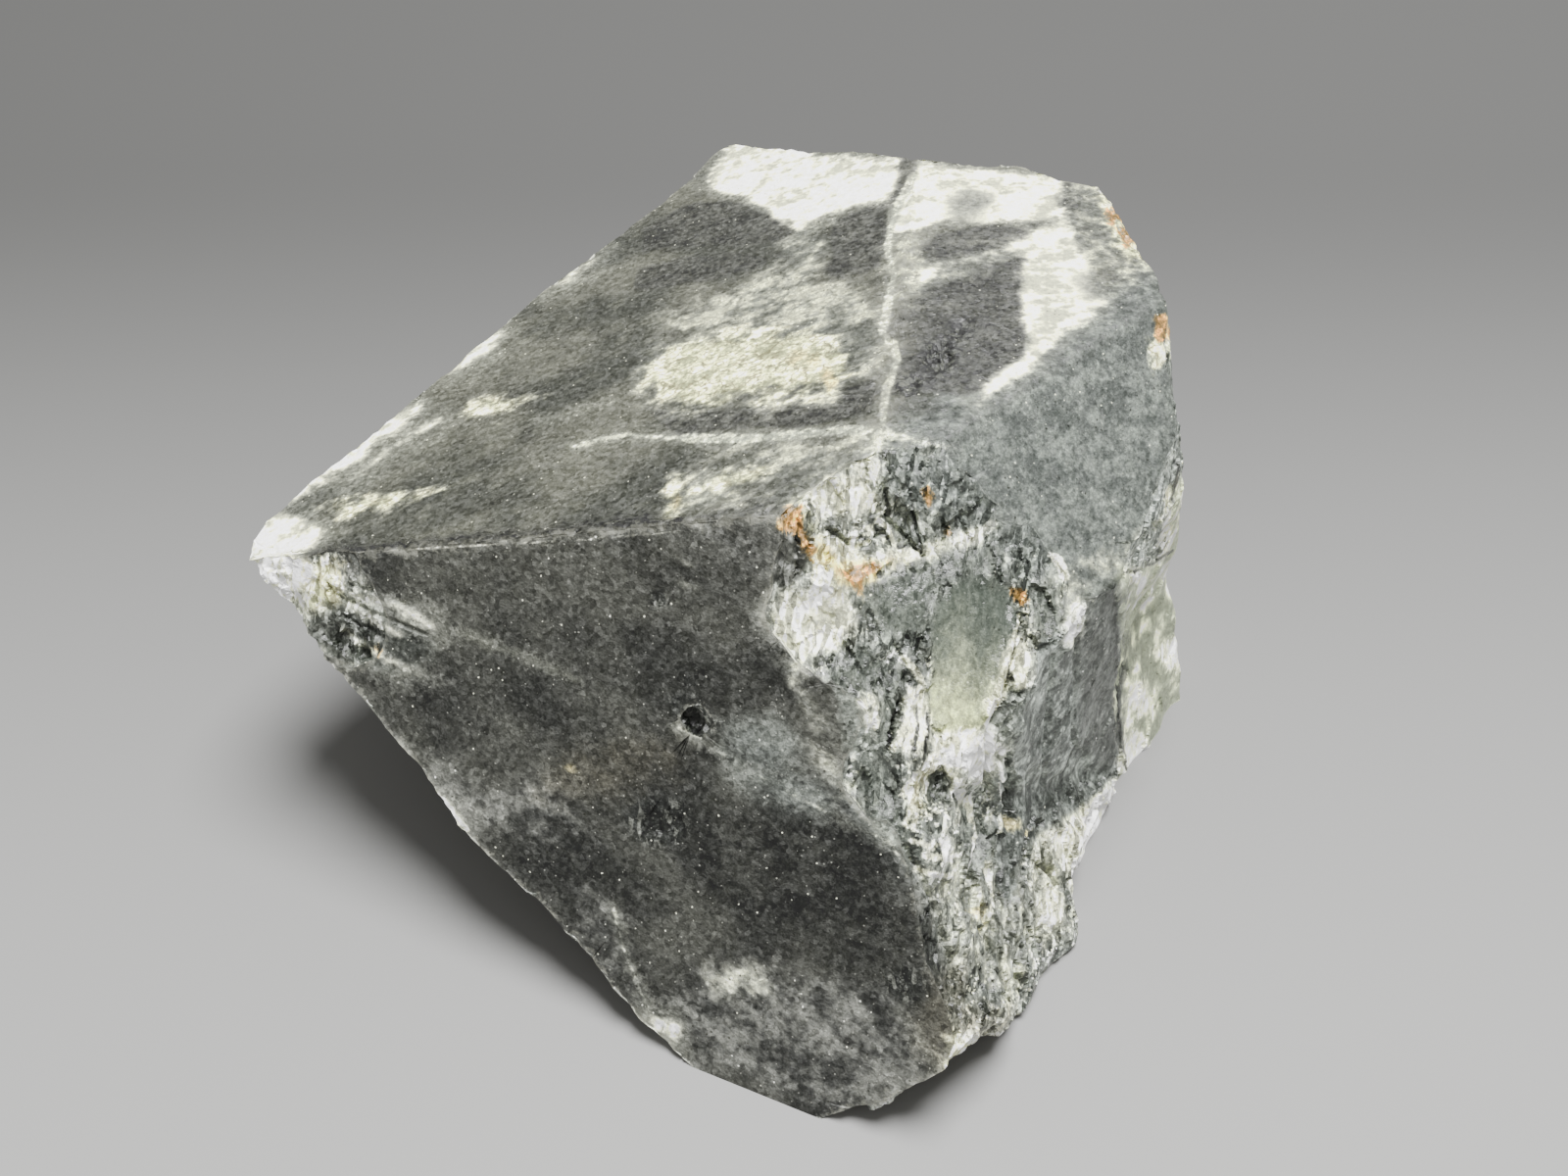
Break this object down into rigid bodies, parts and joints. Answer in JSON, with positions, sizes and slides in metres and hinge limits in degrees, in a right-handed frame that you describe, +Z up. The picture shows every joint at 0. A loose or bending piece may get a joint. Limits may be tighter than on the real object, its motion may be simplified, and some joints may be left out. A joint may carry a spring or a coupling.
{
  "type": "rough mineral specimen",
  "caption": "Rough ore stone with two flat sawn faces meeting in a ridge, broken on its other sides and resting on a level underside.",
  "frame": {"origin": "on the ground, under the middle of the stone's box", "axes": "+Z up from the level underside, -Y the side that the sawn front face looks to, -X the sharp left corner, +Y the back"},
  "size_m": [0.0826, 0.092, 0.0395],
  "materials": {
    "stone": "matt sugary dark grey rock with white veins and patches and pale green glassy zones"
  },
  "bodies": {
    "root": {"stone": "stone"}
  },
  "joints": []
}
